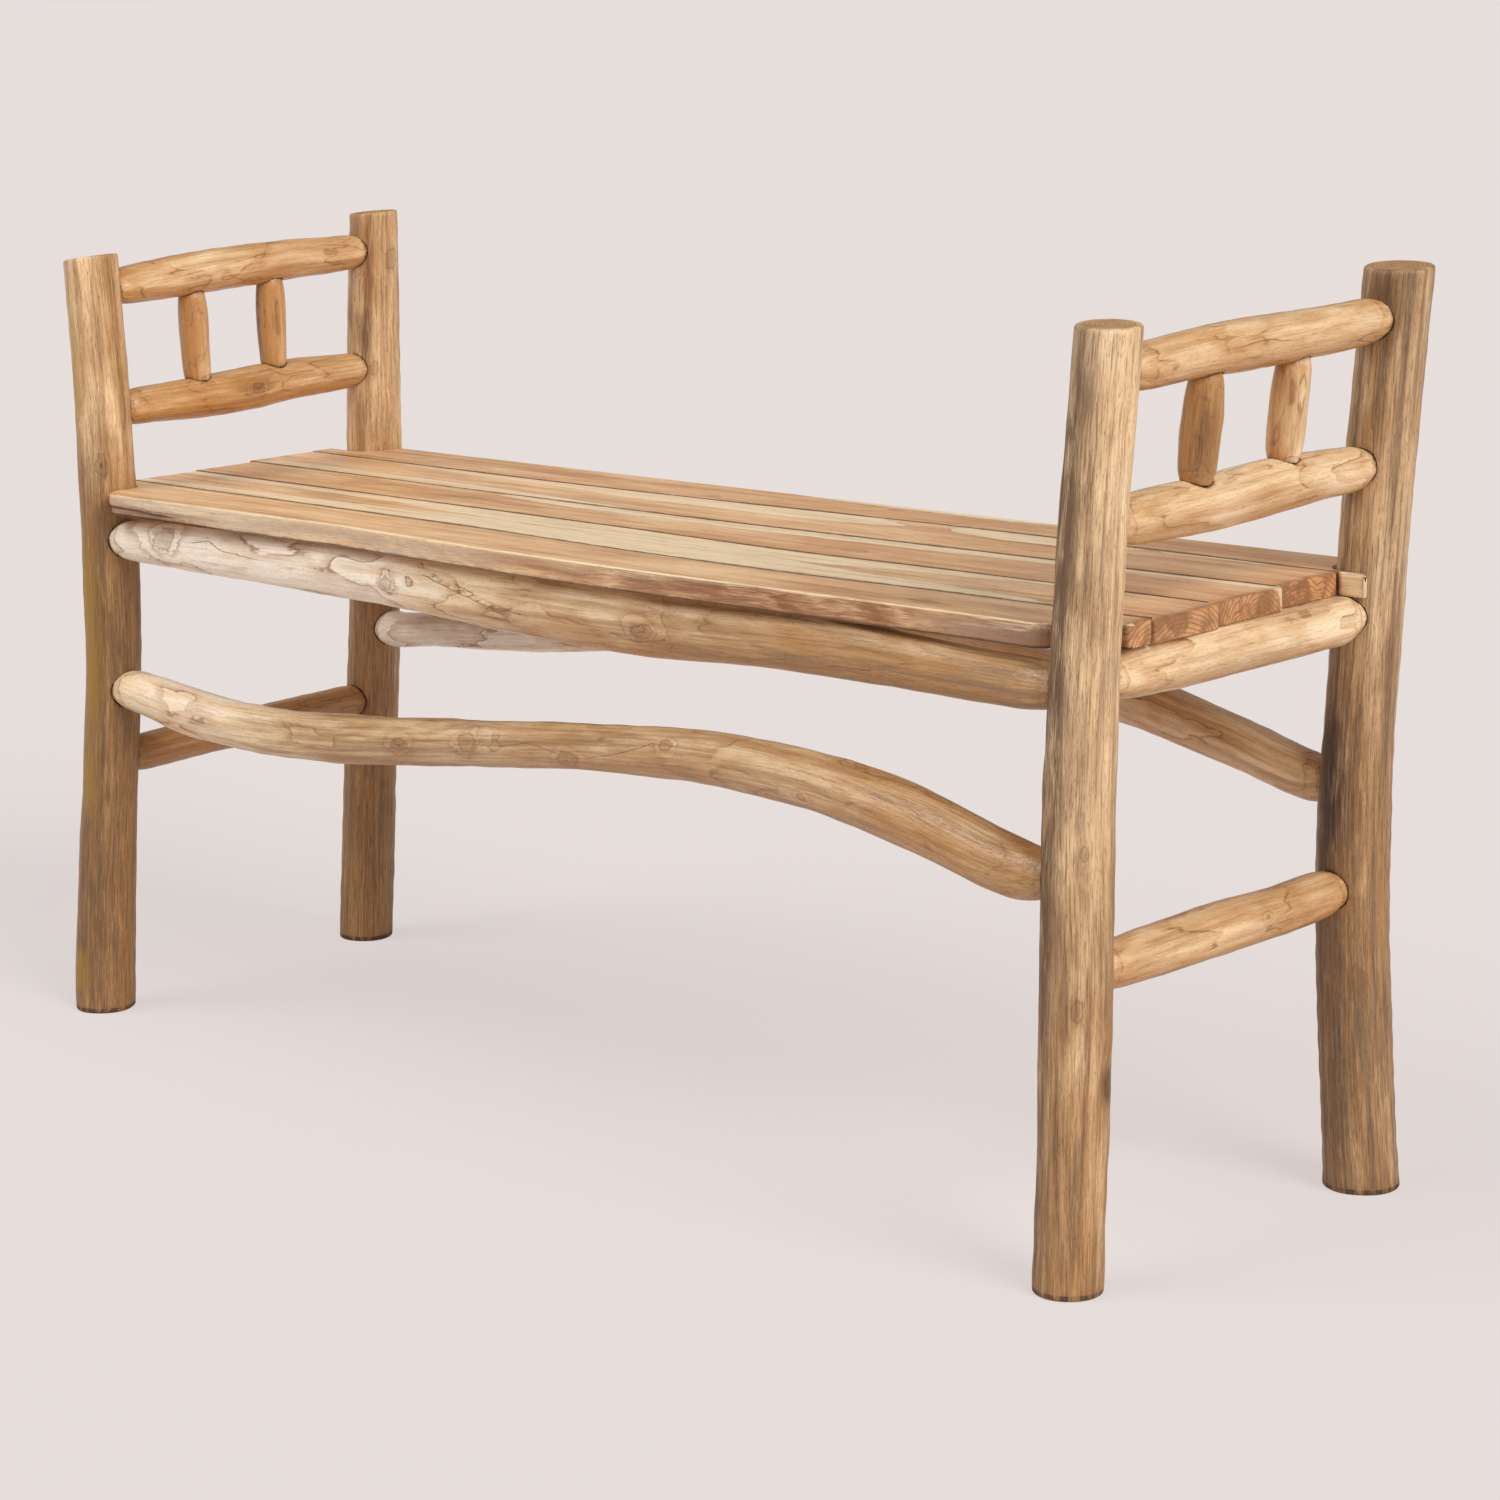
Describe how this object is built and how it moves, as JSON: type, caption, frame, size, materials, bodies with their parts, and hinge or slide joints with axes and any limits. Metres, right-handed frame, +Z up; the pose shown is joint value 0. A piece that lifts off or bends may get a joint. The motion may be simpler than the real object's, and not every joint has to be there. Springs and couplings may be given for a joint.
{
  "type": "log bench",
  "caption": "Rustic bench of peeled round logs with a plank seat, low arms with barrel-shaped spindles, and bowed stretchers between the posts",
  "frame": {"origin": "middle of the bounding box, at floor level", "axes": "+X runs along the bench, from the left end to the right end as seen from the front; +Y points from the front to the back; +Z is up"},
  "size_m": [1.236, 0.3968, 0.707],
  "materials": {
    "post_wood": "sanded and oiled teak log, semi-gloss, with grey-brown streaks",
    "rail_wood": "peeled and sanded teak branch wood, cream to honey, semi-gloss",
    "plank_wood": "planed teak with pale sapwood stripes, satin",
    "bearer_wood": "sawn teak batten, unfinished",
    "screw_steel": "zinc-plated steel"
  },
  "bodies": {
    "root": {"back_left_post": "post_wood", "back_rail_screws": "screw_steel", "back_right_post": "post_wood", "back_seat_rail": "rail_wood", "back_stretcher": "rail_wood", "bearer_screws": "screw_steel", "cross_bearer": "bearer_wood", "front_left_post": "post_wood", "front_rail_screws": "screw_steel", "front_right_post": "post_wood", "front_seat_rail": "rail_wood", "front_stretcher": "rail_wood", "left_arm_back_spindle": "rail_wood", "left_arm_front_spindle": "rail_wood", "left_arm_lower_rail": "rail_wood", "left_arm_top_rail": "rail_wood", "left_plank_screws": "screw_steel", "left_side_seat_rail": "rail_wood", "left_side_stretcher": "rail_wood", "right_arm_back_spindle": "rail_wood", "right_arm_front_spindle": "rail_wood", "right_arm_lower_rail": "rail_wood", "right_arm_top_rail": "rail_wood", "right_plank_screws": "screw_steel", "right_side_seat_rail": "rail_wood", "right_side_stretcher": "rail_wood", "seat_plank_1": "plank_wood", "seat_plank_2": "plank_wood", "seat_plank_3": "plank_wood", "seat_plank_4": "plank_wood", "seat_plank_5": "plank_wood"}
  },
  "joints": []
}
